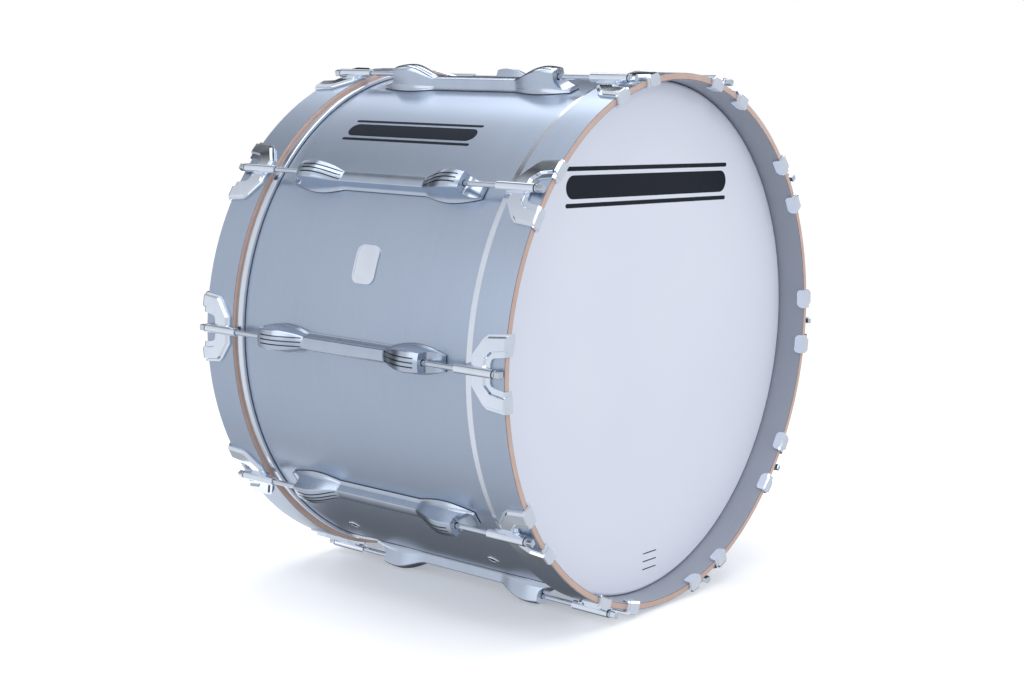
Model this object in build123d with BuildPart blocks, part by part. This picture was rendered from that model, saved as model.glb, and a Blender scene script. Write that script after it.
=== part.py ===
from build123d import *
import math
import os

# A marching bass drum: a wooden shell with a silver covering, two heads in flesh hoops, two
# wooden counterhoops, ten long lugs and twenty tension rods with claws.
# Origin at the drum's centre, +Y along its axis with the front head at -Y, +Z up, millimetres.
# Fittings are made at the top of the front half, then mirrored and turned about Y to their
# places. A "place" is a distance from the centre along the axis.

# Rows of fittings
ROWS = 10
ROW_STEP = 360 / ROWS
FIRST_ROW = 18  # degrees from +Z towards -X

# Shell and its covering
SHELL_DEPTH = 355.6
SHELL_OD = 558.8
WRAP = 0.5
SHELL_WALL = 7.0
EDGE = SHELL_DEPTH / 2
WRAP_R = SHELL_OD / 2
WOOD_R = WRAP_R - WRAP
INSIDE_R = WOOD_R - SHELL_WALL
WRAP_END = EDGE - 5
EDGE_CREST = 2.0

# Counterhoop and its silver skins
HOOP_R = 287.8
HOOP_INNER_R = 280.55
HOOP_SKIN = 0.4
HOOP_IN = 168.7
HOOP_OUT = 210.5
HOOP_EASE = 0.6

# Head film and flesh hoop
FILM = 0.25
FILM_PLANE = EDGE + 0.3
COLLAR_R = WRAP_R + 0.35
FILM_SHOULDER = 4.0
SHOULDER_STEPS = 4
FLESH_INNER_R = 280.3
FLESH_R = 283.8
FLESH_IN = 158.4
FLESH_OUT = 168.5
FLESH_WALL = 0.8
TUCK = 2.4

# Tension rod
ROD_AXIS_R = 294.2
ROD_R = 2.74
ROD_IN = 90.0
KEY_TIP = 211.9
KEY_SQUARE = 6.35
KEY_CORNER = 1.0
KEY_EASE = 0.6
FLANGE_R = 4.4
FLANGE = 1.7
WASHER_R = 4.6
WASHER = 1.2

# Claw
BARREL_R = 4.7
BARREL_IN = 155.6
BARREL_OUT = 201.8
BARREL_BORE_R = 3.1
SADDLE_IN = 163.0
SADDLE_OUT = 193.0
SADDLE_HALF = 3.6
CLAW_GAP = 0.2
CLAW_WALL = 2.2
CLAW_IN = 171.5
CLAW_FRONT = HOOP_OUT + CLAW_GAP + CLAW_WALL
NECK_HALF = 15.0
HOOK_OUTER = 38.5
HOOK_INNER = 16.5
HOOK_SHOULDER = 36.0
NOTCH_HALF = 14.5
NOTCH_END = 194.5
TAB_IN = 202.0
TAB_R = HOOP_INNER_R - CLAW_GAP - CLAW_WALL
TAB_CORNER = 7.0
RIDGE = 2.4
RIDGE_FRONT = 1.0
RIDGE_FOOT = 286.5
RIDGE_HEIGHT = 6.4
RIDGE_SLOPE = 30

# Lug
LUG_SEAT_R = 280.2
GASKET_MARGIN = -0.2
LUG_CREASE = 57.0
LUG_TIP = 131.0
LUG_FACE = 113.5
LUG_SCREW_PLACE = 70.0
POCKET_IN = 84.0
POCKET_OUT = 109.0
POCKET_HALF = 6.2
POCKET_TOP_R = 300.0
ROD_HOLE_R = 3.5
BEVEL = 0.8
KNEE_OUT = 0.30
KNEE_UP = 0.28
GROOVE_STEP = 4.6
GROOVE_WIDTH = 1.3
GROOVE_DEPTH = 1.8
GROOVE_IN = 59.0
GROOVE_OUT = 108.0

# Sections of a lug's dome: place, half width at the foot, half width at the shoulder,
# radius of the shoulder, radius of the crown
LUG_SECTIONS = [
    (57, 10.0, 6.2, 291.5, 292.0),
    (65, 11.7, 7.8, 293.9, 294.7),
    (75, 13.9, 9.6, 298.2, 299.4),
    (85, 15.2, 10.6, 301.6, 303.1),
    (94, 15.4, 10.9, 303.0, 304.6),
    (104, 14.5, 10.5, 302.7, 304.3),
    (113, 12.9, 9.8, 301.5, 303.0),
    (122, 10.8, 8.8, 299.8, 301.3),
    (132, 8.2, 7.2, 297.5, 299.0),
]

# Swivel nut, nut retainer, lug screw and its washer
NUT_IN = 86.0
NUT_OUT = 106.5
NUT_R = 4.6
NUT_COLLAR_R = 5.4
NUT_COLLAR = 3.0
NUT_BORE_R = ROD_R + 0.05
RETAINER_IN = 87.0
RETAINER_OUT = 102.0
RETAINER_LOW_R = 282.0
RETAINER_HALF = 6.0
SCREW_R = 2.0
SCREW_TOP_R = 290.5
SCREW_HEAD_R = 3.9
SCREW_HEAD = 2.6
SCREW_WASHER_R = 6.0
SCREW_WASHER = 1.0
SEAT_R = INSIDE_R - 0.1
SCREW_HOLE_R = 2.3
FIT = 0.05

# Badge and vents
BADGE_ANGLE = 72.2
BADGE_PLACE = 8.0
BADGE_WIDTH = 31.0
BADGE_HEIGHT = 41.0
BADGE_CORNER = 9.0
BADGE_FIELD = 0.8
BADGE_RAISED = 0.5
BADGE_RIM = 2.0
VENT_ANGLE = 144.0
VENT_PLACE = 101.7
VENT_FLANGE_R = 7.2
VENT_TUBE_R = 5.2
VENT_BORE_R = 4.3
VENT_FLANGE = 1.0

os.makedirs("parts", exist_ok=True)


def save(part, label):
    part.label = label
    export_step(part, f"parts/{label}.step")


def row_angle(row):
    return FIRST_ROW + ROW_STEP * row


def turned(part, angle):
    """The part turned about Y, from the top towards -X."""
    return part.rotate(Axis.Y, -angle)


def sided(part, side):
    """A part made for the front, mirrored if the side is the rear."""
    return part if side == "front" else part.mirror(Plane.XZ)


def in_every_row(part):
    return Compound(children=[turned(part, row_angle(row)) for row in range(ROWS)])


def in_every_lug_end(part):
    pieces = []
    for side in ("front", "rear"):
        for row in range(ROWS):
            pieces.append(turned(sided(part, side), row_angle(row)))
    return Compound(children=pieces)


def facing_out(angle, place, radius):
    """A plane that faces away from the axis, at an angle, a place on the front half and a radius."""
    top = Plane(origin=(0, -place, radius), x_dir=(1, 0, 0), z_dir=(0, 0, 1))
    return Plane(Rotation(0, -angle, 0) * top.location)


def revolved(points):
    """A ring about Y whose section is a polygon of (place, radius) on the front half."""
    with BuildPart() as made:
        with BuildSketch(Plane.YZ):
            with BuildLine():
                Polyline([(-place, radius) for place, radius in points], close=True)
            make_face()
        revolve(axis=Axis.Y)
    return made.part


# Shell, covering and what is fixed to them

def make_shell_drills():
    """Rods that cut the lug screws' holes and the vents' holes."""
    with BuildPart() as drills:
        for row in range(ROWS):
            for place in (-LUG_SCREW_PLACE, LUG_SCREW_PLACE):
                with BuildSketch(facing_out(row_angle(row), place, INSIDE_R - 5)):
                    Circle(SCREW_HOLE_R)
                extrude(amount=SHELL_WALL + 10)
        for place in (-VENT_PLACE, VENT_PLACE):
            with BuildSketch(facing_out(VENT_ANGLE, place, INSIDE_R - 5)):
                Circle(VENT_TUBE_R + FIT)
            extrude(amount=SHELL_WALL + 10)
    return drills.part


def make_shell():
    outer_bevel = EDGE - EDGE_CREST
    inner_bevel = EDGE - SHELL_WALL + EDGE_CREST
    with BuildPart() as shell:
        with BuildSketch(Plane.YZ):
            with BuildLine():
                Polyline(
                    (-outer_bevel, WOOD_R),
                    (-EDGE, WOOD_R - EDGE_CREST),
                    (-inner_bevel, INSIDE_R),
                    (inner_bevel, INSIDE_R),
                    (EDGE, WOOD_R - EDGE_CREST),
                    (outer_bevel, WOOD_R),
                    close=True,
                )
            make_face()
        revolve(axis=Axis.Y)
        add(make_shell_drills(), mode=Mode.SUBTRACT)
    return shell.part


def make_wrap():
    with BuildPart() as wrap:
        with BuildSketch(Plane.XZ.offset(-WRAP_END)):
            Circle(WRAP_R)
            Circle(WOOD_R, mode=Mode.SUBTRACT)
        extrude(amount=2 * WRAP_END)
        add(make_shell_drills(), mode=Mode.SUBTRACT)
    return wrap.part


def make_badge():
    """A plain plate with a raised rim, curved to the shell, made at the top."""
    face_r = WRAP_R + BADGE_FIELD
    rim_r = face_r + BADGE_RAISED
    with BuildPart() as badge:
        add(revolved([(-60, WRAP_R), (60, WRAP_R), (60, rim_r), (-60, rim_r)]))
        with BuildSketch(Plane.XY.offset(WRAP_R - 5)):
            with Locations((0, -BADGE_PLACE)):
                RectangleRounded(BADGE_HEIGHT, BADGE_WIDTH, BADGE_CORNER)
        extrude(amount=10, mode=Mode.INTERSECT)
    with BuildPart() as field:
        add(revolved([(-60, face_r), (60, face_r), (60, face_r + 5), (-60, face_r + 5)]))
        with BuildSketch(Plane.XY.offset(WRAP_R - 5)):
            with Locations((0, -BADGE_PLACE)):
                RectangleRounded(
                    BADGE_HEIGHT - 2 * BADGE_RIM, BADGE_WIDTH - 2 * BADGE_RIM, BADGE_CORNER - BADGE_RIM
                )
        extrude(amount=12, mode=Mode.INTERSECT)
    with BuildPart() as finished:
        add(badge.part)
        add(field.part, mode=Mode.SUBTRACT)
    return turned(finished.part, BADGE_ANGLE)


def make_vent(place):
    """An eyelet: a flange outside, a tube through the shell and a rolled lip inside."""
    tube_low = INSIDE_R - 2.0
    with BuildPart() as vent:
        with BuildSketch(Plane.XZ):
            with BuildLine():
                Polyline(
                    (VENT_BORE_R, tube_low),
                    (VENT_FLANGE_R - 1, tube_low),
                    (VENT_FLANGE_R - 1, SEAT_R),
                    (VENT_TUBE_R, SEAT_R),
                    (VENT_TUBE_R, WRAP_R),
                    (VENT_FLANGE_R, WRAP_R),
                    (VENT_FLANGE_R, WRAP_R + 0.4),
                    (VENT_FLANGE_R - 0.8, WRAP_R + VENT_FLANGE),
                    (VENT_BORE_R + 0.4, WRAP_R + VENT_FLANGE),
                    (VENT_BORE_R, WRAP_R + VENT_FLANGE - 0.4),
                    close=True,
                )
            make_face()
        revolve(axis=Axis.Z)
    return turned(vent.part.translate((0, -place, 0)), VENT_ANGLE)


# Lugs and what is inside them

def lug_section(place, foot, shoulder, shoulder_r, crown_r):
    """One cross-section of a lug: steep sides that flare at the foot, bevels and a low crown."""
    low = LUG_SEAT_R - 6
    bevel_r = shoulder_r - BEVEL
    crown_edge = shoulder - BEVEL
    knee = shoulder + KNEE_OUT * (foot - shoulder)
    knee_r = LUG_SEAT_R + KNEE_UP * (bevel_r - LUG_SEAT_R)
    flare = knee + 0.38 * (foot - knee)
    flare_r = LUG_SEAT_R + 0.4 * (knee_r - LUG_SEAT_R)
    with BuildSketch(Plane.XZ.offset(place)) as section:
        with BuildLine():
            Line((foot, low), (-foot, low))
            Line((-foot, low), (-foot, LUG_SEAT_R))
            ThreePointArc((-foot, LUG_SEAT_R), (-flare, flare_r), (-knee, knee_r))
            Line((-knee, knee_r), (-shoulder, bevel_r))
            Line((-shoulder, bevel_r), (-crown_edge, shoulder_r))
            ThreePointArc((-crown_edge, shoulder_r), (0, crown_r), (crown_edge, shoulder_r))
            Line((crown_edge, shoulder_r), (shoulder, bevel_r))
            Line((shoulder, bevel_r), (knee, knee_r))
            ThreePointArc((knee, knee_r), (flare, flare_r), (foot, LUG_SEAT_R))
            Line((foot, LUG_SEAT_R), (foot, low))
        make_face()
    return section.sketch


def make_dome(sink):
    """The dome at the front end of a lug, with its crown lowered by sink."""
    sections = []
    for place, foot, shoulder, shoulder_r, crown_r in LUG_SECTIONS:
        sections.append(lug_section(place, foot, shoulder, shoulder_r - sink, crown_r - sink))
    with BuildPart() as dome:
        loft(sections)
    return dome.part


def make_groove_cutter():
    """Three long shallow slots along the top of the front dome."""
    length = GROOVE_OUT - GROOVE_IN
    with BuildPart() as cutter:
        with BuildSketch(Plane.XY.offset(ROD_AXIS_R)):
            with Locations((0, -(GROOVE_IN + GROOVE_OUT) / 2)):
                with GridLocations(GROOVE_STEP, 1, 3, 1):
                    SlotOverall(length, GROOVE_WIDTH, rotation=90)
        extrude(amount=20)
        add(make_dome(GROOVE_DEPTH), mode=Mode.SUBTRACT)
    return cutter.part


def make_end_cutter():
    """What scoops the front end of a lug, and leaves a thin toe on the shell."""
    beyond = -LUG_TIP - 10
    with BuildPart() as cutter:
        with BuildSketch(Plane.YZ.offset(-25)):
            with BuildLine():
                Line((-LUG_FACE, 312), (-LUG_FACE, 306))
                Spline(
                    (-LUG_FACE, 306),
                    (-LUG_FACE + 0.6, 298),
                    (-LUG_FACE - 0.6, 290),
                    (-LUG_FACE - 6, 285),
                    (-LUG_TIP, 283),
                )
                Polyline((-LUG_TIP, 283), (-LUG_TIP, 278), (beyond, 278), (beyond, 312), (-LUG_FACE, 312))
            make_face()
        extrude(amount=50)
    return cutter.part


def make_half_lug():
    """The front half of a lug: half its bar, its dome, the nut pocket, the rod hole and a screw hole."""
    with BuildPart() as half:
        extrude(lug_section(0, *LUG_SECTIONS[0][1:]), amount=LUG_CREASE)
        add(make_dome(0))
        add(make_groove_cutter(), mode=Mode.SUBTRACT)
        add(make_end_cutter(), mode=Mode.SUBTRACT)
        with BuildSketch(Plane.XY.offset(LUG_SEAT_R - 8)):
            with Locations((0, -(POCKET_IN + POCKET_OUT) / 2)):
                RectangleRounded(2 * POCKET_HALF, POCKET_OUT - POCKET_IN, 2)
        extrude(amount=POCKET_TOP_R - LUG_SEAT_R + 8, mode=Mode.SUBTRACT)
        with BuildSketch(Plane.XZ.offset(POCKET_OUT - 2)):
            with Locations((0, ROD_AXIS_R)):
                Circle(ROD_HOLE_R)
        extrude(amount=20, mode=Mode.SUBTRACT)
        with BuildSketch(Plane.XY.offset(LUG_SEAT_R - 8)):
            with Locations((0, -LUG_SCREW_PLACE)):
                Circle(SCREW_R + FIT)
        extrude(amount=SCREW_TOP_R + 1 - LUG_SEAT_R + 8, mode=Mode.SUBTRACT)
        with BuildSketch(Plane.XZ.offset(-5)):
            Circle(LUG_SEAT_R)
        extrude(amount=LUG_TIP + 15, mode=Mode.SUBTRACT)
    return half.part


def make_lug():
    half = make_half_lug()
    with BuildPart() as lug:
        add(half)
        mirror(half, about=Plane.XZ)
    return lug.part


def foot_outline(grow):
    """The front half of the bow-tie outline of a lug's foot, grown by a margin."""
    edge = [(foot + grow, -place) for place, foot, _, _, _ in LUG_SECTIONS[:-1]]
    tip = (LUG_SECTIONS[-1][1] + grow, -LUG_TIP - grow)
    bar = LUG_SECTIONS[0][1] + grow
    with BuildSketch(Plane.XY.offset(WRAP_R - 10)) as outline:
        with BuildLine():
            Line((bar, 0), edge[0])
            Spline(*edge, tip)
            Line(tip, (-tip[0], tip[1]))
            Spline((-tip[0], tip[1]), *[(-x, y) for x, y in reversed(edge)])
            Line((-bar, edge[0][1]), (-bar, 0))
            Line((-bar, 0), (bar, 0))
        make_face()
    return outline.sketch


def make_gasket():
    with BuildPart() as half:
        extrude(foot_outline(GASKET_MARGIN), amount=20)
        with BuildSketch(facing_out(0, LUG_SCREW_PLACE, WRAP_R - 10)):
            Circle(SCREW_HOLE_R)
        extrude(amount=20, mode=Mode.SUBTRACT)
    with BuildPart() as gasket:
        add(half.part)
        mirror(half.part, about=Plane.XZ)
        gasket_band = [(-150, WRAP_R), (150, WRAP_R), (150, LUG_SEAT_R), (-150, LUG_SEAT_R)]
        add(revolved(gasket_band), mode=Mode.INTERSECT)
    return gasket.part


def make_swivel_nut():
    with BuildPart() as nut:
        with BuildSketch(Plane.XZ.offset(NUT_IN)):
            with Locations((0, ROD_AXIS_R)):
                Circle(NUT_R)
                Circle(NUT_BORE_R, mode=Mode.SUBTRACT)
        extrude(amount=NUT_OUT - NUT_IN)
        with BuildSketch(Plane.XZ.offset(NUT_OUT - NUT_COLLAR)):
            with Locations((0, ROD_AXIS_R)):
                Circle(NUT_COLLAR_R)
                Circle(NUT_BORE_R, mode=Mode.SUBTRACT)
        extrude(amount=NUT_COLLAR)
    return nut.part


def make_retainer():
    """A cradle of spring plastic that holds the nut up in the lug's pocket."""
    with BuildPart() as retainer:
        with BuildSketch(Plane.XZ.offset(RETAINER_IN)):
            with Locations((0, (RETAINER_LOW_R + ROD_AXIS_R) / 2)):
                Rectangle(2 * RETAINER_HALF, ROD_AXIS_R - RETAINER_LOW_R)
            with Locations((0, ROD_AXIS_R)):
                Circle(NUT_R + FIT, mode=Mode.SUBTRACT)
        extrude(amount=RETAINER_OUT - RETAINER_IN)
        with BuildSketch(Plane.XY.offset(RETAINER_LOW_R)):
            with Locations((0, -(RETAINER_IN + RETAINER_OUT) / 2)):
                Rectangle(RETAINER_HALF, RETAINER_OUT - RETAINER_IN - 4)
        extrude(amount=4, mode=Mode.SUBTRACT)
    return retainer.part


def make_lug_screw():
    head_top = SEAT_R - SCREW_WASHER
    with BuildPart() as screw:
        with BuildSketch(facing_out(0, LUG_SCREW_PLACE, head_top - SCREW_HEAD)):
            Circle(SCREW_HEAD_R)
        extrude(amount=SCREW_HEAD)
        fillet(screw.edges().sort_by(Axis.Z)[0], 1.2)
        with BuildSketch(facing_out(0, LUG_SCREW_PLACE, head_top)):
            Circle(SCREW_R)
        extrude(amount=SCREW_TOP_R - head_top)
        with BuildSketch(facing_out(0, LUG_SCREW_PLACE, head_top - SCREW_HEAD)):
            Rectangle(4.4, 0.9)
            Rectangle(0.9, 4.4)
        extrude(amount=1.5, mode=Mode.SUBTRACT)
    return screw.part


def make_lug_washer():
    with BuildPart() as washer:
        with BuildSketch(facing_out(0, LUG_SCREW_PLACE, SEAT_R - SCREW_WASHER)):
            Circle(SCREW_WASHER_R)
            Circle(SCREW_HOLE_R, mode=Mode.SUBTRACT)
        extrude(amount=SCREW_WASHER)
    return washer.part


# Hoops and heads, for the front

def make_counterhoop():
    outer = HOOP_R - HOOP_SKIN
    inner = HOOP_INNER_R + HOOP_SKIN
    return revolved([
        (HOOP_IN, inner + HOOP_EASE),
        (HOOP_IN + HOOP_EASE, inner),
        (HOOP_OUT - HOOP_EASE, inner),
        (HOOP_OUT, inner + HOOP_EASE),
        (HOOP_OUT, outer - HOOP_EASE),
        (HOOP_OUT - HOOP_EASE, outer),
        (HOOP_IN + HOOP_EASE, outer),
        (HOOP_IN, outer - HOOP_EASE),
    ])


def make_hoop_skin(low_r, high_r):
    low = HOOP_IN + HOOP_EASE
    high = HOOP_OUT - HOOP_EASE
    return revolved([(low, low_r), (high, low_r), (high, high_r), (low, high_r)])


def film_shoulder(curve):
    """Points (place, radius) along the film's rounded shoulder, from the flat to the collar."""
    centre = FILM_PLANE + FILM - FILM_SHOULDER
    centre_r = COLLAR_R - FILM_SHOULDER
    points = []
    for step in range(SHOULDER_STEPS + 1):
        turn = math.radians(90 * step / SHOULDER_STEPS)
        points.append((centre + curve * math.cos(turn), centre_r + curve * math.sin(turn)))
    return points


def make_head():
    """The film: a flat disc, a stepped shoulder and a collar that tucks into the flesh hoop."""
    tuck = FLESH_IN + (FLESH_OUT - FLESH_IN) / 2
    tuck_r = COLLAR_R + TUCK
    return revolved([
        (FILM_PLANE + FILM, 0),
        *film_shoulder(FILM_SHOULDER),
        (tuck + FILM, COLLAR_R),
        (tuck + FILM, tuck_r),
        (tuck, tuck_r),
        (tuck, COLLAR_R - FILM),
        *reversed(film_shoulder(FILM_SHOULDER - FILM)),
        (FILM_PLANE, 0),
    ])


def make_flesh_hoop():
    """A light metal channel, open inwards, that grips the film."""
    slot = FLESH_IN + (FLESH_OUT - FLESH_IN) / 2
    slot_r = COLLAR_R + TUCK + 0.1
    return revolved([
        (FLESH_IN, FLESH_INNER_R),
        (slot - 0.1, FLESH_INNER_R),
        (slot - 0.1, slot_r),
        (slot + FILM + 0.1, slot_r),
        (slot + FILM + 0.1, FLESH_INNER_R),
        (FLESH_OUT, FLESH_INNER_R),
        (FLESH_OUT, FLESH_R - FLESH_WALL),
        (FLESH_OUT - FLESH_WALL, FLESH_R),
        (FLESH_IN + FLESH_WALL, FLESH_R),
        (FLESH_IN, FLESH_R - FLESH_WALL),
    ])


# Claws, washers and tension rods, for the top of the front side

def claw_outline():
    """A claw from above: a neck by the shell, arms that spread, and a notch between two hooks."""
    right = [
        (NECK_HALF, -CLAW_IN),
        (HOOK_SHOULDER - 4.5, -CLAW_IN - 12.5),
        (HOOK_SHOULDER, -CLAW_IN - 18),
        (HOOK_OUTER, -CLAW_FRONT),
        (HOOK_OUTER, -CLAW_FRONT - 5),
        (HOOK_INNER, -CLAW_FRONT - 5),
        (HOOK_INNER, -CLAW_FRONT),
        (NOTCH_HALF, -NOTCH_END - 5),
        (NOTCH_HALF - 1.5, -NOTCH_END - 1.5),
        (NOTCH_HALF - 5, -NOTCH_END),
    ]
    left = [(-x, y) for x, y in reversed(right)]
    with BuildSketch(Plane.XY.offset(TAB_R - 20)) as outline:
        with BuildLine():
            Polyline(*right, *left, close=True)
        make_face()
    return outline.sketch


def ridge_outline():
    """The foot of the raised part of one arm, from the barrel out to the hook."""
    with BuildSketch(Plane.XY.offset(RIDGE_FOOT)) as outline:
        with BuildLine():
            Polyline(
                (-6, -CLAW_IN - 1),
                (-6, -NOTCH_END + 3.5),
                (NOTCH_HALF - 3, -NOTCH_END + 3.5),
                (NOTCH_HALF + 3.5, -NOTCH_END - 3),
                (HOOK_INNER + 4, -CLAW_FRONT),
                (HOOK_INNER + 4, -CLAW_FRONT - 9),
                (HOOK_OUTER - 1.5, -CLAW_FRONT - 9),
                (HOOK_OUTER - 1.5, -CLAW_FRONT),
                (HOOK_SHOULDER - 1, -CLAW_IN - 18.5),
                (HOOK_SHOULDER - 4.5, -CLAW_IN - 14),
                (NECK_HALF, -CLAW_IN - 1),
                close=True,
            )
        make_face()
    return outline.sketch


def tab_corner_cutter():
    """What rounds the corners of the tab inside the hoop."""
    middle = (HOOK_INNER + HOOK_OUTER) / 2
    width = HOOK_OUTER - HOOK_INNER
    with BuildPart() as cutter:
        with BuildSketch(Plane.XY.offset(TAB_R - 20)):
            with Locations((middle, -TAB_IN - TAB_CORNER / 2)):
                Rectangle(width + 6, TAB_CORNER + 2)
            with Locations((middle, -TAB_IN - 20)):
                RectangleRounded(width, 40, TAB_CORNER, mode=Mode.SUBTRACT)
        extrude(amount=23)
        mirror(about=Plane.YZ)
    return cutter.part


def claw_band_profile(top_r, front):
    """The bent plate's section: over the hoop, round its front edge and down inside it."""
    seat_r = HOOP_R + CLAW_GAP
    seat = HOOP_OUT + CLAW_GAP
    return [
        (CLAW_IN, seat_r),
        (seat, seat_r),
        (seat, TAB_R + CLAW_WALL),
        (TAB_IN, TAB_R + CLAW_WALL),
        (TAB_IN, TAB_R + 0.6),
        (TAB_IN + 0.6, TAB_R),
        (front - 1.6, TAB_R),
        (front, TAB_R + 1.6),
        (front, top_r - 2.4),
        (front - 0.7, top_r - 0.7),
        (front - 2.4, top_r),
        (CLAW_IN, top_r),
    ]


def make_claw():
    plate_top_r = HOOP_R + CLAW_GAP + CLAW_WALL
    with BuildPart() as plate:
        add(revolved(claw_band_profile(plate_top_r, CLAW_FRONT)))
        extrude(claw_outline(), amount=60, mode=Mode.INTERSECT)
    with BuildPart() as ridge:
        extrude(ridge_outline(), amount=RIDGE_HEIGHT, taper=RIDGE_SLOPE)
        extrude(ridge_outline(), amount=-20)
        ridge_band = claw_band_profile(plate_top_r + RIDGE, CLAW_FRONT + RIDGE_FRONT)
        add(revolved(ridge_band), mode=Mode.INTERSECT)
        mirror(about=Plane.YZ)
    with BuildPart() as claw:
        add(plate.part)
        add(ridge.part)
        add(tab_corner_cutter(), mode=Mode.SUBTRACT)
        with BuildSketch(Plane.XZ.offset(SADDLE_IN)):
            with Locations((0, (ROD_AXIS_R + plate_top_r - 1) / 2)):
                Rectangle(2 * SADDLE_HALF, ROD_AXIS_R - plate_top_r + 1)
        extrude(amount=SADDLE_OUT - SADDLE_IN)
        with BuildSketch(Plane.XZ.offset(BARREL_IN)):
            with Locations((0, ROD_AXIS_R)):
                Circle(BARREL_R)
        extrude(amount=BARREL_OUT - BARREL_IN)
        with BuildSketch(Plane.XZ.offset(BARREL_IN - 1)):
            with Locations((0, ROD_AXIS_R)):
                Circle(BARREL_BORE_R)
        extrude(amount=BARREL_OUT - BARREL_IN + 2, mode=Mode.SUBTRACT)
    return claw.part


def make_rod_washer():
    with BuildPart() as washer:
        with BuildSketch(Plane.XZ.offset(BARREL_OUT)):
            with Locations((0, ROD_AXIS_R)):
                Circle(WASHER_R)
                Circle(BARREL_BORE_R, mode=Mode.SUBTRACT)
        extrude(amount=WASHER)
    return washer.part


def make_rod():
    """A tension rod: a plain shank, a round flange and a square head for a drum key."""
    flange_in = BARREL_OUT + WASHER + 0.02
    head_in = flange_in + FLANGE
    with BuildPart() as rod:
        with BuildSketch(Plane.XZ.offset(ROD_IN)):
            with Locations((0, ROD_AXIS_R)):
                Circle(ROD_R)
        extrude(amount=flange_in - ROD_IN)
        chamfer(rod.edges().sort_by(Axis.Y)[-1], 0.8)
        with BuildSketch(Plane.XZ.offset(flange_in)):
            with Locations((0, ROD_AXIS_R)):
                Circle(FLANGE_R)
        extrude(amount=FLANGE)
        with BuildSketch(Plane.XZ.offset(head_in)):
            with Locations((0, ROD_AXIS_R)):
                RectangleRounded(KEY_SQUARE, KEY_SQUARE, KEY_CORNER)
        extrude(amount=KEY_TIP - head_in)
        chamfer(rod.faces().sort_by(Axis.Y)[0].edges(), KEY_EASE)
    return rod.part


def save_shell_pieces():
    save(make_shell(), "shell")
    save(make_wrap(), "shell_wrap")
    lug = make_lug()
    for row in range(ROWS):
        save(turned(lug, row_angle(row)), f"lug_{row + 1:02d}")
    save(in_every_row(make_gasket()), "lug_gaskets")
    save(in_every_lug_end(make_lug_screw()), "lug_screws")
    save(in_every_lug_end(make_lug_washer()), "lug_washers")
    save(in_every_lug_end(make_swivel_nut()), "swivel_nuts")
    save(in_every_lug_end(make_retainer()), "nut_retainers")
    save(make_badge(), "badge")
    save(make_vent(VENT_PLACE), "front_vent")
    save(make_vent(-VENT_PLACE), "rear_vent")


def save_head_side(side):
    hoop_skin_r = HOOP_R - HOOP_SKIN
    lining_r = HOOP_INNER_R + HOOP_SKIN
    save(sided(make_counterhoop(), side), f"{side}_counterhoop")
    save(sided(make_hoop_skin(hoop_skin_r, HOOP_R), side), f"{side}_hoop_covering")
    save(sided(make_hoop_skin(HOOP_INNER_R, lining_r), side), f"{side}_hoop_lining")
    save(sided(make_head(), side), f"{side}_head")
    save(sided(make_flesh_hoop(), side), f"{side}_flesh_hoop")
    save(in_every_row(sided(make_claw(), side)), f"{side}_claws")
    save(in_every_row(sided(make_rod_washer(), side)), f"{side}_rod_washers")
    rod = sided(make_rod(), side)
    for row in range(ROWS):
        save(turned(rod, row_angle(row)), f"{side}_rod_{row + 1:02d}")


save_shell_pieces()
save_head_side("front")
save_head_side("rear")
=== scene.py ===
import math

import bmesh
import bpy
from mathutils import Matrix, Vector


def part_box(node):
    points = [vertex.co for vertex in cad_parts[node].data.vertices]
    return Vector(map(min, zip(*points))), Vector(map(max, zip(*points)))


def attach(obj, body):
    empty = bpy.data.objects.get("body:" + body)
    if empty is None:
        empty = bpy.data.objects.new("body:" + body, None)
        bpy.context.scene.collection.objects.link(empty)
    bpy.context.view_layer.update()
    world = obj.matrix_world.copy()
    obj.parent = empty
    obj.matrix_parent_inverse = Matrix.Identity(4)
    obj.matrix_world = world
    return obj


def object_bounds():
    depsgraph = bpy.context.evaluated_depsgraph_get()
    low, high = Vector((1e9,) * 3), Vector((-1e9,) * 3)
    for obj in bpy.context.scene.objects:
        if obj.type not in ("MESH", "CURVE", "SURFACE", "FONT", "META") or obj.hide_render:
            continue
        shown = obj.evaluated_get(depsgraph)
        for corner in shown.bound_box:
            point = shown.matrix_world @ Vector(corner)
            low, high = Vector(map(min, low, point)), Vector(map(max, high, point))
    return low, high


# A marching bass drum: finishes, prints, floor, light and camera around the CAD frame.
# Metres, origin at the drum's centre, the front head faces -Y, +Z up.

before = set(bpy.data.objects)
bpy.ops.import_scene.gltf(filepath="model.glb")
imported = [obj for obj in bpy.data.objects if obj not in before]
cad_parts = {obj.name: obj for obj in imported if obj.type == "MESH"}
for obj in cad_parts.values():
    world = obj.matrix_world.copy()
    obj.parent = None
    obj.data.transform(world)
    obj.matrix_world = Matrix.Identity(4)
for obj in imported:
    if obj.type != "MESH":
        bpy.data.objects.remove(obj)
CAD_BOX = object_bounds()

# Camera, from the drum's centre
CAMERA_PLACE = (-1.4760, -1.1711, 0.2594)
CAMERA_AZIMUTH = 51.272
CAMERA_ELEVATION = -8.471
CAMERA_ROLL = 1.582
CAMERA_LENS = 58.08

# Prints: plain stripes, thick enough to be solid and thin enough to look printed
INK = 0.00012
HEAD_STRIPES_CENTRE = (-0.009, 0.170)
HEAD_STRIPES_LENGTH = 0.300
SHELL_STRIPES_ANGLE = 38.7
SHELL_STRIPES_PLACE = 0.017
SHELL_STRIPES_LENGTH = 0.180
SMALL_PRINT_CENTRE = (0.017, -0.248)

# Radii of the counterhoops' bare wood, between the covering and the lining, the thickness of two of
# its plies, and where the dark line along each edge is full and where it has gone
HOOP_EDGES = (0.28095, 0.28740)
PLY_PAIR = 0.0022
EDGE_LINE = (0.0002, 0.0005)
EDGE_SHADE = 0.85

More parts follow.
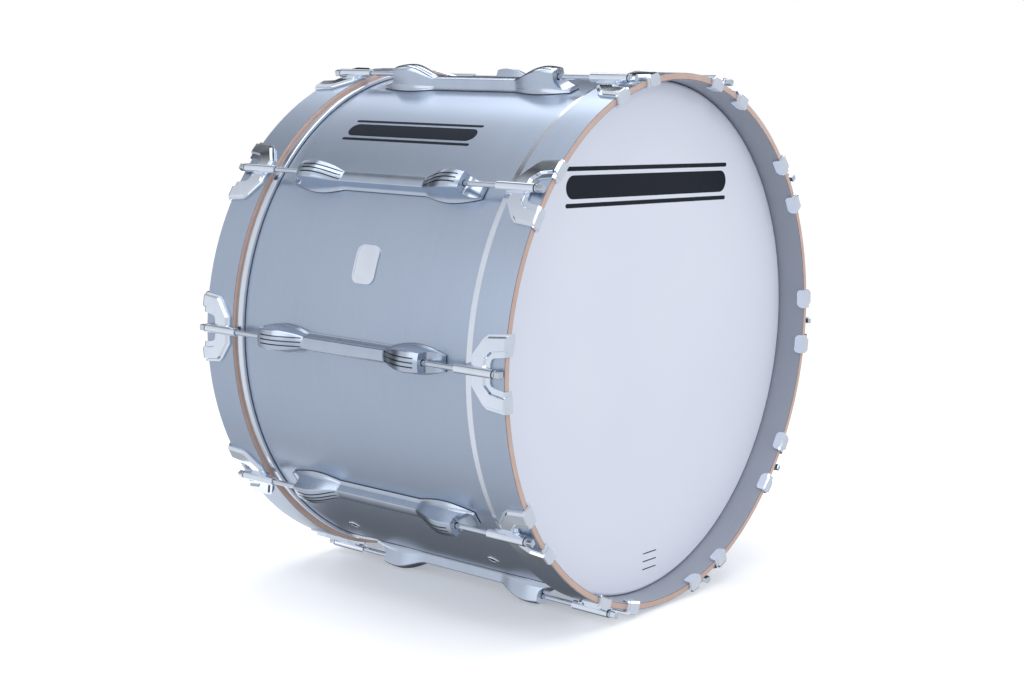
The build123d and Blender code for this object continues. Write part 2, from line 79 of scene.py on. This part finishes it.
# Floor: half its side, and the distances over which it runs out to plain white
FLOOR_HALF = 8.0
FLOOR_FADE = (0.65, 1.30)

# Grooves on the lugs' domes: from row to row, from groove to groove, their ends along the axis, how
# far from a groove's middle its painted shade starts to fade and has gone, and how long it fades at the ends
ROW_PITCH = math.radians(36)
GROOVE_STEP = 0.0046
GROOVE_ENDS = (0.059, 0.108)
GROOVE_SHADE_SIDES = (0.00055, 0.0008)
GROOVE_SHADE_END_FADE = 0.0005

# Light round the drum: levels behind it as (degrees from +X towards +Z, level), the level straight
# behind it, the share of the strip's light over 1 that is added near the front and near the rear,
# the level in front, and the colour of all this light
STRIP_LEVEL = 2.4
SURROUND = [
    (-180, 0.81), (-154, 0.85), (-135, 0.82), (-112, 0.64), (-94, 0.36), (-76, 0.14), (-58, 0.13),
    (-40, 0.10), (-10, 0.05), (20, 0.04), (47, 0.06), (51, STRIP_LEVEL), (59, STRIP_LEVEL),
    (66, 0.64), (76, 0.52), (86, 0.42), (97, 0.30), (103, 0.05), (110, 0.54), (132, 0.74), (180, 0.80),
]
MIDDLE_LEVEL = 0.12
STRIP_GAIN = (0.8, -1.0)
FRONT_LEVEL = 0.70
CARD_TINT = (0.95, 0.98, 1.04)

# Where these levels change, as how far a direction of length 1 reaches towards the rear
STRIP_FADE = (0.57, 0.72)
MIDDLE_FADE = (0.82, 0.95)
FRONT_FADE = (0.10, -0.20)


# Materials

class Finish:
    """One procedural material: a Principled shader and short ways to add nodes to it."""

    def __init__(self, name, color, roughness, metallic=0.0, **others):
        self.material = bpy.data.materials.new(name)
        self.material.use_nodes = True
        self.nodes = self.material.node_tree.nodes
        self.links = self.material.node_tree.links
        self.shader = self.nodes["Principled BSDF"]
        self.shader.inputs["Base Color"].default_value = (*color, 1)
        self.shader.inputs["Roughness"].default_value = roughness
        self.shader.inputs["Metallic"].default_value = metallic
        for socket, value in others.items():
            self.shader.inputs[socket.replace("_", " ")].default_value = value
        self.place = self.nodes.new("ShaderNodeTexCoord").outputs["Object"]
        self.heights = []

    def math(self, operation, first, second=0.0):
        node = self.nodes.new("ShaderNodeMath")
        node.operation = operation
        for socket, value in zip(node.inputs, (first, second)):
            if isinstance(value, (int, float)):
                socket.default_value = value
            else:
                self.links.new(value, socket)
        return node.outputs[0]

    def radius(self):
        """The distance from the drum's axis."""
        flat = self.nodes.new("ShaderNodeVectorMath")
        flat.operation = "MULTIPLY"
        flat.inputs[1].default_value = (1, 0, 1)
        self.links.new(self.place, flat.inputs[0])
        length = self.nodes.new("ShaderNodeVectorMath")
        length.operation = "LENGTH"
        self.links.new(flat.outputs[0], length.inputs[0])
        return length.outputs["Value"]

    def noise(self, scale, stretch=(1, 1, 1), detail=3.0, rough=0.5):
        """Noise from 0 to 1; scale is in features per metre, made finer by stretch on each axis."""
        mapping = self.nodes.new("ShaderNodeMapping")
        mapping.inputs["Scale"].default_value = stretch
        self.links.new(self.place, mapping.inputs["Vector"])
        noise = self.nodes.new("ShaderNodeTexNoise")
        noise.inputs["Scale"].default_value = scale
        noise.inputs["Detail"].default_value = detail
        noise.inputs["Roughness"].default_value = rough
        self.links.new(mapping.outputs[0], noise.inputs["Vector"])
        return noise.outputs["Fac"]

    def ramp(self, factor, *stops):
        """Colours (place, (r, g, b)) along a factor."""
        ramp = self.nodes.new("ShaderNodeValToRGB")
        elements = ramp.color_ramp.elements
        while len(elements) < len(stops):
            elements.new(0.5)
        for element, (place, color) in zip(elements, stops):
            element.position = place
            element.color = (*color, 1)
        self.links.new(factor, ramp.inputs[0])
        return ramp.outputs[0]

    def spread(self, factor, low, high, from_low=0.3, from_high=0.7):
        """A factor stretched to run from low to high."""
        node = self.nodes.new("ShaderNodeMapRange")
        node.inputs["From Min"].default_value = from_low
        node.inputs["From Max"].default_value = from_high
        node.inputs["To Min"].default_value = low
        node.inputs["To Max"].default_value = high
        self.links.new(factor, node.inputs["Value"])
        return node.outputs[0]

    def mix(self, factor, first, second):
        node = self.nodes.new("ShaderNodeMix")
        node.data_type = "RGBA"
        sockets = (node.inputs[0], node.inputs[6], node.inputs[7])
        for socket, value in zip(sockets, (factor, first, second)):
            if isinstance(value, tuple):
                socket.default_value = (*value, 1)
            elif isinstance(value, (int, float)):
                socket.default_value = value
            else:
                self.links.new(value, socket)
        return node.outputs[2]

    def color(self, output):
        self.links.new(output, self.shader.inputs["Base Color"])

    def roughness(self, output):
        self.links.new(output, self.shader.inputs["Roughness"])

    def bump(self, height, distance, strength=1.0):
        """Adds a layer of relief, distance metres high."""
        node = self.nodes.new("ShaderNodeBump")
        node.inputs["Strength"].default_value = strength
        node.inputs["Distance"].default_value = distance
        self.links.new(height, node.inputs["Height"])
        if self.heights:
            self.links.new(self.heights[-1], node.inputs["Normal"])
        self.heights.append(node.outputs[0])
        self.links.new(node.outputs[0], self.shader.inputs["Normal"])


def silver_covering():
    """A smooth silver sheet: faint clouds, a very faint grain round the drum and a tiny sparkle."""
    finish = Finish("silver_covering", (0.42, 0.48, 0.58), 0.30, 0.88)
    grain = finish.noise(3.0, (4, 420, 4), detail=4)
    cloud = finish.noise(9.0, (1, 1.6, 1), detail=2)
    sparkle = finish.noise(1100.0, detail=1)
    base = finish.ramp(cloud, (0.3, (0.425, 0.495, 0.605)), (0.7, (0.440, 0.510, 0.620)))
    streaked = finish.mix(finish.spread(grain, 0.0, 0.35), base, (0.49, 0.56, 0.67))
    finish.color(finish.mix(finish.spread(sparkle, 0.0, 0.30, 0.62, 0.75), streaked, (0.70, 0.75, 0.83)))
    finish.roughness(finish.spread(grain, 0.28, 0.33))
    finish.bump(grain, 0.000008, 0.4)
    finish.bump(sparkle, 0.000006, 0.4)
    return finish.material


def grey_lining():
    """A plain grey sheet inside the hoops, duller than the covering."""
    finish = Finish("grey_lining", (0.27, 0.29, 0.37), 0.55, 0.15)
    cloud = finish.noise(22.0, detail=3)
    grain = finish.noise(4.0, (5, 300, 5), detail=3)
    base = finish.ramp(cloud, (0.3, (0.345, 0.370, 0.430)), (0.7, (0.370, 0.395, 0.455)))
    finish.color(finish.mix(finish.spread(grain, 0.0, 0.4), base, (0.395, 0.42, 0.48)))
    finish.roughness(finish.spread(cloud, 0.48, 0.62))
    finish.bump(grain, 0.00002, 0.5)
    return finish.material


def hoop_wood():
    """Bent maple plies, seen on edge: thin lines round the hoop and a soft change along it."""
    finish = Finish("hoop_wood", (0.60, 0.39, 0.31), 0.50)
    radius = finish.radius()
    ply = finish.math("PINGPONG", radius, PLY_PAIR / 2)
    line = finish.spread(ply, 1.0, 0.0, 0.0, 0.00018)
    full, gone = EDGE_LINE
    outer_edge = finish.spread(radius, 0.0, EDGE_SHADE, HOOP_EDGES[1] - gone, HOOP_EDGES[1] - full)
    inner_edge = finish.spread(radius, EDGE_SHADE, 0.0, HOOP_EDGES[0] + full, HOOP_EDGES[0] + gone)
    along = finish.noise(9.0, detail=3)
    fibre = finish.noise(60.0, (1, 6, 1), detail=4)
    base = finish.ramp(
        along, (0.30, (0.58, 0.41, 0.34)), (0.55, (0.63, 0.46, 0.39)), (0.75, (0.67, 0.49, 0.40)),
    )
    fibred = finish.mix(finish.spread(fibre, 0.0, 0.40), base, (0.52, 0.35, 0.28))
    plied = finish.mix(finish.math("MULTIPLY", line, 0.40), fibred, (0.36, 0.22, 0.17))
    finish.color(finish.mix(finish.math("MAXIMUM", outer_edge, inner_edge), plied, (0.10, 0.07, 0.07)))
    finish.roughness(finish.spread(fibre, 0.42, 0.58))
    finish.bump(fibre, 0.00005, 0.5)
    return finish.material


def shell_wood():
    """Maple veneer, with its grain round the shell."""
    finish = Finish("shell_wood", (0.62, 0.44, 0.28), 0.45)
    bands = finish.noise(5.0, (2, 26, 2), detail=6, rough=0.6)
    fibre = finish.noise(12.0, (4, 260, 4), detail=3)
    base = finish.ramp(
        bands, (0.25, (0.50, 0.33, 0.19)), (0.50, (0.62, 0.44, 0.28)), (0.75, (0.70, 0.52, 0.35)),
    )
    finish.color(finish.mix(finish.spread(fibre, 0.0, 0.35), base, (0.42, 0.26, 0.14)))
    finish.roughness(finish.spread(bands, 0.38, 0.55))
    finish.bump(fibre, 0.00006, 0.5)
    return finish.material


def head_film():
    """Smooth white drum film, very slightly clouded and satin."""
    finish = Finish("head_film", (0.76, 0.79, 0.88), 0.42)
    cloud = finish.noise(5.0, detail=3)
    tooth = finish.noise(700.0, detail=2)
    finish.color(finish.ramp(cloud, (0.3, (0.750, 0.775, 0.865)), (0.7, (0.775, 0.800, 0.885))))
    finish.roughness(finish.spread(cloud, 0.38, 0.46))
    finish.bump(tooth, 0.00001, 0.35)
    return finish.material


def flesh_hoop_metal():
    """Rolled aluminium with light marks of the rollers round it."""
    finish = Finish("flesh_hoop_metal", (0.80, 0.82, 0.86), 0.28, 1.0)
    rolled = finish.noise(6.0, (3, 900, 3), detail=3)
    cloud = finish.noise(40.0, detail=2)
    finish.color(finish.ramp(cloud, (0.3, (0.80, 0.84, 0.91)), (0.7, (0.84, 0.88, 0.94))))
    finish.roughness(finish.spread(rolled, 0.10, 0.18))
    finish.bump(rolled, 0.00001, 0.5)
    return finish.material


def metal(name, dark, light, low_rough, high_rough, grain_size, relief):
    """Cast or turned metal: two near colours, uneven gloss and a very small relief."""
    finish = Finish(name, light, low_rough, 1.0)
    cloud = finish.noise(55.0, detail=3)
    grain = finish.noise(grain_size, detail=3)
    finish.color(finish.ramp(cloud, (0.3, dark), (0.7, light)))
    finish.roughness(finish.spread(finish.mix(0.5, cloud, grain), low_rough, high_rough))
    finish.bump(grain, relief, 0.5)
    return finish.material


def lug_casting():
    """Satin cast metal, with painted shade in the three grooves on top of each dome."""
    finish = Finish("lug_casting", (0.57, 0.635, 0.735), 0.22, 1.0)
    cloud = finish.noise(55.0, detail=3)
    grain = finish.noise(1100.0, detail=3)
    split = finish.nodes.new("ShaderNodeSeparateXYZ")
    finish.links.new(finish.place, split.inputs[0])
    turn = finish.math("ARCTAN2", split.outputs["X"], split.outputs["Z"])
    aside = finish.math("SUBTRACT", ROW_PITCH / 2, finish.math("PINGPONG", turn, ROW_PITCH / 2))
    aside = finish.math("MULTIPLY", aside, finish.radius())
    line = finish.spread(finish.math("PINGPONG", aside, GROOVE_STEP / 2), 1.0, 0.0, *GROOVE_SHADE_SIDES)
    near = finish.spread(aside, 1.0, 0.0, GROOVE_STEP * 1.3, GROOVE_STEP * 1.35)
    along = finish.math("ABSOLUTE", split.outputs["Y"])
    start = finish.spread(along, 0.0, 1.0, GROOVE_ENDS[0], GROOVE_ENDS[0] + GROOVE_SHADE_END_FADE)
    end = finish.spread(along, 1.0, 0.0, GROOVE_ENDS[1] - GROOVE_SHADE_END_FADE, GROOVE_ENDS[1])
    # painted shade: the colour is darkened inside each groove to stand for the shade that falls there
    groove = finish.math("MULTIPLY", finish.math("MULTIPLY", line, near), finish.math("MULTIPLY", start, end))
    unshaded_casting = finish.ramp(cloud, (0.3, (0.505, 0.570, 0.670)), (0.7, (0.540, 0.605, 0.705)))
    finish.color(finish.mix(groove, unshaded_casting, (0.09, 0.11, 0.14)))
    finish.roughness(finish.spread(finish.mix(0.5, cloud, grain), 0.20, 0.25))
    finish.bump(grain, 0.000004, 0.5)
    return finish.material


def nylon():
    """Black plastic with a fine moulded texture."""
    finish = Finish("nylon", (0.020, 0.021, 0.024), 0.5)
    cloud = finish.noise(120.0, detail=3)
    finish.color(finish.ramp(cloud, (0.3, (0.016, 0.017, 0.020)), (0.7, (0.026, 0.028, 0.032))))
    finish.roughness(finish.spread(cloud, 0.42, 0.55))
    finish.bump(finish.noise(2500.0), 0.00002, 0.4)
    return finish.material


def gasket():
    """Black fibre under the lugs."""
    finish = Finish("gasket", (0.018, 0.020, 0.024), 0.75)
    fibre = finish.noise(1800.0, detail=3)
    finish.color(finish.ramp(fibre, (0.3, (0.012, 0.013, 0.016)), (0.7, (0.030, 0.033, 0.040))))
    finish.bump(fibre, 0.00004, 0.5)
    return finish.material


def ink():
    """Printed near-black, a little uneven."""
    finish = Finish("ink", (0.006, 0.010, 0.018), 0.45, Specular_IOR_Level=0.12)
    cover = finish.noise(260.0, detail=3)
    finish.color(finish.ramp(cover, (0.3, (0.005, 0.008, 0.015)), (0.7, (0.009, 0.013, 0.022))))
    finish.roughness(finish.spread(cover, 0.38, 0.52))
    finish.bump(cover, 0.000008, 0.4)
    return finish.material


def floor_paint():
    """White paint that takes soft shadows near the drum and runs out to plain white."""
    finish = Finish("floor_paint", (0.90, 0.90, 0.91), 0.8)
    flat = finish.nodes.new("ShaderNodeVectorMath")
    flat.operation = "LENGTH"
    finish.links.new(finish.place, flat.inputs[0])
    far = finish.spread(flat.outputs["Value"], 0.0, 1.0, FLOOR_FADE[0], FLOOR_FADE[1])
    soft = finish.ramp(finish.noise(2.0), (0.3, (0.89, 0.89, 0.90)), (0.7, (0.91, 0.91, 0.92)))
    finish.color(finish.mix(far, soft, (0.0, 0.0, 0.0)))
    glow = finish.mix(far, (0.25, 0.25, 0.25), (1.02, 1.02, 1.02))
    finish.links.new(glow, finish.shader.inputs["Emission Color"])
    finish.shader.inputs["Emission Strength"].default_value = 1.0
    return finish.material


SILVER = silver_covering()
NYLON = nylon()
CHROME = metal("chrome", (0.80, 0.86, 0.94), (0.86, 0.91, 0.98), 0.06, 0.10, 900.0, 0.000003)
CASTING = lug_casting()
STEEL = metal("rod_steel", (0.62, 0.67, 0.74), (0.68, 0.73, 0.80), 0.08, 0.13, 1500.0, 0.000003)
PLATED = metal("plated_steel", (0.62, 0.65, 0.70), (0.74, 0.77, 0.81), 0.20, 0.32, 1500.0, 0.000008)
BRASS = metal("brass_nut", (0.62, 0.45, 0.20), (0.74, 0.56, 0.28), 0.25, 0.38, 1500.0, 0.00001)
BADGE = metal("badge_metal", (0.76, 0.80, 0.87), (0.80, 0.84, 0.90), 0.34, 0.40, 1200.0, 0.000004)
INK_FINISH = ink()

FINISHES = {
    "shell": shell_wood(),
    "shell_wrap": SILVER,
    "hoop_covering": SILVER,
    "hoop_lining": grey_lining(),
    "counterhoop": hoop_wood(),
    "head": head_film(),
    "flesh_hoop": flesh_hoop_metal(),
    "claws": CHROME,
    "vent": CHROME,
    "lug_gaskets": gasket(),
    "lug_screws": PLATED,
    "lug_washers": PLATED,
    "rod_washers": NYLON,
    "swivel_nuts": BRASS,
    "nut_retainers": NYLON,
    "badge": BADGE,
}


def finish_of(node):
    """The finish of a CAD node, by its name without the side."""
    name = node.replace("front_", "").replace("rear_", "")
    if name in FINISHES:
        return FINISHES[name]
    return STEEL if name.startswith("rod_") else CASTING


def paint_cad_nodes():
    for name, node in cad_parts.items():
        node.data.materials.clear()
        node.data.materials.append(finish_of(name))


# Prints

def new_piece(name, mesh_maker, material, body):
    """A mesh object from a bmesh, which rides on a body."""
    mesh = bpy.data.meshes.new(name)
    mesh_maker.to_mesh(mesh)
    mesh_maker.free()
    piece = bpy.data.objects.new(name, mesh)
    bpy.context.scene.collection.objects.link(piece)
    mesh.materials.append(material)
    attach(piece, body)
    return piece


def add_stripe(maker, length, height, low, high, bend):
    """A solid stripe between two levels. bend turns (along, across, level) into a place."""
    radius = height / 2
    straight = length / 2 - radius
    quarter = [math.radians(3 + 87 * step / 8) for step in range(9)]
    cap = [(straight + radius * math.cos(turn), radius * math.sin(turn)) for turn in quarter]
    middle = [(straight * (1 - step / 12), radius) for step in range(1, 24)]
    edge = cap + middle + [(-along, reach) for along, reach in reversed(cap)]
    shares = (-1, -0.5, 0, 0.5, 1)

    def layer(level):
        return [
            [maker.verts.new(bend(along, share * reach, level)) for share in shares]
            for along, reach in reversed(edge)
        ]

    def add_face(corners, flip):
        maker.faces.new(corners[::-1] if flip else corners)

    under, over = layer(low), layer(high)
    columns, rows = len(edge) - 1, len(shares) - 1
    for column in range(columns):
        for row in range(rows):
            for grid in (under, over):
                near, far = grid[column], grid[column + 1]
                add_face([near[row], far[row], far[row + 1], near[row + 1]], grid is under)
        for row in (0, rows):
            low_pair = [under[column][row], under[column + 1][row]]
            high_pair = [over[column + 1][row], over[column][row]]
            add_face(low_pair + high_pair, row == rows)
    for column in (0, columns):
        for row in range(rows):
            low_pair = [under[column][row], under[column][row + 1]]
            high_pair = [over[column][row + 1], over[column][row]]
            add_face(low_pair + high_pair, column == 0)


def stripes(name, length, parts, bend, body):
    """Parallel stripes (height, offset across) as one print."""
    maker = bmesh.new()
    for height, offset in parts:
        add_stripe(maker, length, height, 0.0, INK, lambda a, c, level: bend(a, c + offset, level))
    bmesh.ops.recalc_face_normals(maker, faces=maker.faces)
    return new_piece(name, maker, INK_FINISH, body)


def on_front_head(centre):
    """Places a print on the outer face of the front head."""
    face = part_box("front_head")[0].y

    def bend(along, across, level):
        return Vector((centre[0] + along, face - level, centre[1] + across))
    return bend


def on_shell(angle, place):
    """Places a print round the shell's covering, with its length along the axis."""
    low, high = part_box("shell_wrap")
    radius = (high.z - low.z) / 2

    def bend(along, across, level):
        turn = math.radians(angle) - across / radius
        reach = radius + level
        return Vector((-reach * math.sin(turn), place - along, reach * math.cos(turn)))
    return bend


def make_prints():
    triple = [(0.0045, 0.0185), (0.024, 0.0), (0.0045, -0.0185)]
    stripes("head_stripes", HEAD_STRIPES_LENGTH, triple, on_front_head(HEAD_STRIPES_CENTRE), "front_hoop")
    smaller = [(height * 0.8, offset * 0.8) for height, offset in triple]
    stripes(
        "shell_stripes", SHELL_STRIPES_LENGTH, smaller,
        on_shell(SHELL_STRIPES_ANGLE, SHELL_STRIPES_PLACE), "shell",
    )
    lines = [(0.0012, 0.009), (0.0012, 0.0), (0.0012, -0.009)]
    stripes("small_print", 0.026, lines, on_front_head(SMALL_PRINT_CENTRE), "front_hoop")


# Stage, light and camera

def make_floor():
    maker = bmesh.new()
    bmesh.ops.create_grid(maker, x_segments=8, y_segments=8, size=FLOOR_HALF)
    mesh = bpy.data.meshes.new("floor")
    maker.to_mesh(mesh)
    maker.free()
    floor = bpy.data.objects.new("floor", mesh)
    bpy.context.scene.collection.objects.link(floor)
    floor.location.z = CAD_BOX[0][2]
    floor.visible_diffuse = False
    floor.visible_glossy = False
    floor.visible_shadow = False
    mesh.materials.append(floor_paint())


def make_light(name, place, size, power, facing=None, mirrored=True):
    """A soft panel that faces the drum, or the way facing says; mirrored: polished metal shows it."""
    data = bpy.data.lights.new(name, "AREA")
    data.shape = "RECTANGLE"
    data.size, data.size_y = size
    data.energy = power
    data.color = (0.97, 0.98, 1.0)
    light = bpy.data.objects.new(name, data)
    bpy.context.scene.collection.objects.link(light)
    light.location = place
    light.rotation_euler = (facing or -Vector(place)).to_track_quat("-Z", "Y").to_euler()
    light.visible_camera = False
    light.visible_glossy = mirrored


def make_lights():
    make_light("overhead", (-0.5, 0.0, 3.0), (3.4, 3.4), 50)
    make_light("left_panel", (-2.8, 0.6, 0.9), (1.8, 1.8), 8)
    make_light("front_panel", (0.4, -3.0, 1.0), (2.0, 1.8), 22)
    make_light("back_panel", (-0.5, 2.8, 1.6), (1.8, 1.2), 26, mirrored=False)
    make_light("right_panel", (2.8, -0.3, 1.0), (1.8, 1.8), 18)
    make_light("floor_card", (0.07, 0.48, -0.305), (0.68, 0.46), 0.92, facing=Vector((0, 0, 1)))


def make_world():
    """A studio round the drum: bright cards on one side behind it, dark on the other, a strip light
    between them, and an even light from the front. The camera sees plain white."""
    world = bpy.data.worlds.new("studio")
    bpy.context.scene.world = world
    world.use_nodes = True
    nodes, links = world.node_tree.nodes, world.node_tree.links

    def math_node(operation, *values):
        node = nodes.new("ShaderNodeMath")
        node.operation = operation
        for socket, value in zip(node.inputs, values):
            if isinstance(value, (int, float)):
                socket.default_value = value
            else:
                links.new(value, socket)
        return node.outputs[0]

    def mixed(factor, first, second):
        node = nodes.new("ShaderNodeMix")
        node.data_type = "FLOAT"
        for socket, value in zip(node.inputs, (factor, None, first, second)):
            if isinstance(value, (int, float)):
                socket.default_value = value
            elif value is not None:
                links.new(value, socket)
        return node.outputs[0]

    def ramp(axis, start, end, low=0.0, high=1.0):
        node = nodes.new("ShaderNodeMapRange")
        for socket, value in zip(list(node.inputs)[1:5], (start, end, low, high)):
            socket.default_value = value
        links.new(split.outputs[axis], node.inputs["Value"])
        return node.outputs[0]

    split = nodes.new("ShaderNodeSeparateXYZ")
    links.new(nodes.new("ShaderNodeTexCoord").outputs["Generated"], split.inputs[0])
    turn = math_node("ARCTAN2", split.outputs["Z"], split.outputs["X"])
    curve = nodes.new("ShaderNodeFloatCurve")
    points = curve.mapping.curves[0].points
    while len(points) < len(SURROUND):
        points.new(0.5, 0.5)
    for point, (degrees, level) in zip(points, SURROUND):
        point.location = (degrees / 360 + 0.5, level / STRIP_LEVEL)
        point.handle_type = "VECTOR"
    curve.mapping.update()
    links.new(math_node("MULTIPLY_ADD", turn, 0.5 / math.pi, 0.5), curve.inputs["Value"])
    behind = math_node("MULTIPLY", curve.outputs[0], STRIP_LEVEL)
    strip = math_node("MAXIMUM", math_node("SUBTRACT", behind, 1), 0)
    behind = math_node("MULTIPLY_ADD", strip, ramp("Y", *STRIP_FADE, *STRIP_GAIN), behind)
    behind = mixed(ramp("Y", *MIDDLE_FADE), behind, MIDDLE_LEVEL)
    studio = mixed(ramp("Y", *FRONT_FADE), behind, FRONT_LEVEL)
    camera_ray = nodes.new("ShaderNodeLightPath").outputs["Is Camera Ray"]
    tint = nodes.new("ShaderNodeMix")
    tint.data_type = "RGBA"
    links.new(camera_ray, tint.inputs[0])
    tint.inputs[6].default_value = (*CARD_TINT, 1)
    tint.inputs[7].default_value = (1, 1, 1, 1)
    background = nodes["Background"]
    links.new(tint.outputs[2], background.inputs["Color"])
    links.new(mixed(camera_ray, studio, 1.0), background.inputs["Strength"])


def make_camera():
    azimuth, elevation, roll = (math.radians(v) for v in (CAMERA_AZIMUTH, CAMERA_ELEVATION, CAMERA_ROLL))
    forward = Vector((
        math.sin(azimuth) * math.cos(elevation),
        math.cos(azimuth) * math.cos(elevation),
        math.sin(elevation),
    ))
    level_right = Vector((math.cos(azimuth), -math.sin(azimuth), 0))
    level_up = level_right.cross(forward)
    right = math.cos(roll) * level_right + math.sin(roll) * level_up
    up = -math.sin(roll) * level_right + math.cos(roll) * level_up
    turn = Matrix((right, up, -forward)).transposed()
    camera = bpy.data.objects.new("camera", bpy.data.cameras.new("camera"))
    camera.data.lens = CAMERA_LENS
    camera.data.sensor_width = 36
    camera.data.clip_end = 60
    camera.matrix_world = Matrix.Translation(CAMERA_PLACE) @ turn.to_4x4()
    bpy.context.scene.collection.objects.link(camera)
    bpy.context.scene.camera = camera


bpy.context.scene.view_settings.view_transform = "Standard"
make_camera()
paint_cad_nodes()
make_prints()
make_floor()
make_lights()
make_world()
